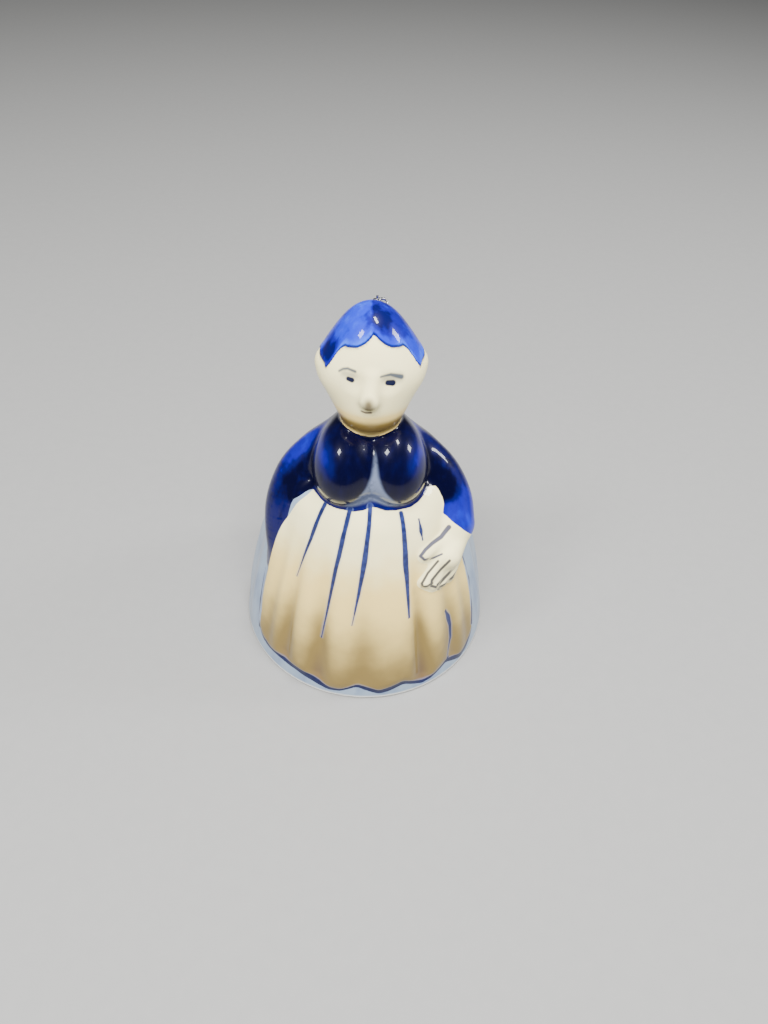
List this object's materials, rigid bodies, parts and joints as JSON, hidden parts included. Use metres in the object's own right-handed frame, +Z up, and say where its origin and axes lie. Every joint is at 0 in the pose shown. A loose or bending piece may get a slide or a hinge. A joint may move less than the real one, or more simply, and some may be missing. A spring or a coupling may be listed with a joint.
{
  "type": "table bell",
  "caption": "Porcelain table bell shaped as a woman in a wide skirt and apron, with a bead clapper on a chain inside the skirt.",
  "frame": {"origin": "centre of the foot ring that the bell stands on", "axes": "+Z up through the crown of the head, -Y the way the figure faces, +X towards its left hand"},
  "size_m": [0.0584, 0.0584, 0.0834],
  "materials": {
    "glazed_porcelain": "gloss glaze with underglaze painting in blue",
    "bead_porcelain": "gloss glaze",
    "plaster": "matte plaster",
    "steel_wire": "bright drawn wire",
    "chain_wire": "satin"
  },
  "bodies": {
    "bell": {"porcelain_body": "glazed_porcelain", "neck_plug": "plaster", "hanger_wire": "steel_wire"},
    "chain_link_1": {"chain_link_1": "chain_wire"},
    "chain_link_2": {"chain_link_2": "chain_wire"},
    "chain_link_3": {"chain_link_3": "chain_wire"},
    "chain_link_4": {"chain_link_4": "chain_wire"},
    "chain_link_5": {"chain_link_5": "chain_wire"},
    "clapper_pin": {"clapper_pin": "chain_wire"},
    "clapper_bead": {"clapper_bead": "bead_porcelain"}
  },
  "joints": [
    {"name": "link_hinge_1", "type": "hinge", "parent": "bell", "child": "chain_link_1", "pos_m": [0, 0, 0.0445], "axis": [1, 0, 0], "range_deg": [-18, 18]},
    {"name": "link_hinge_2", "type": "hinge", "parent": "chain_link_1", "child": "chain_link_2", "pos_m": [0, 0, 0.04001], "axis": [0, 1, 0], "range_deg": [-18, 18]},
    {"name": "link_hinge_3", "type": "hinge", "parent": "chain_link_2", "child": "chain_link_3", "pos_m": [0, 0, 0.03567], "axis": [1, 0, 0], "range_deg": [-8, 8]},
    {"name": "link_hinge_4", "type": "hinge", "parent": "chain_link_3", "child": "chain_link_4", "pos_m": [0, 0, 0.03133], "axis": [0, 1, 0], "range_deg": [-8, 8]},
    {"name": "link_hinge_5", "type": "hinge", "parent": "chain_link_4", "child": "chain_link_5", "pos_m": [0, 0, 0.02699], "axis": [1, 0, 0], "range_deg": [-7, 7]},
    {"name": "clapper_hinge", "type": "hinge", "parent": "chain_link_5", "child": "clapper_pin", "pos_m": [0, 0, 0.02265], "axis": [0, 1, 0], "range_deg": [-7, 7]},
    {"name": "bead_spin", "type": "hinge", "parent": "clapper_pin", "child": "clapper_bead", "pos_m": [0, 0, 0.01481], "axis": [0, 0, 1], "continuous": true}
  ]
}
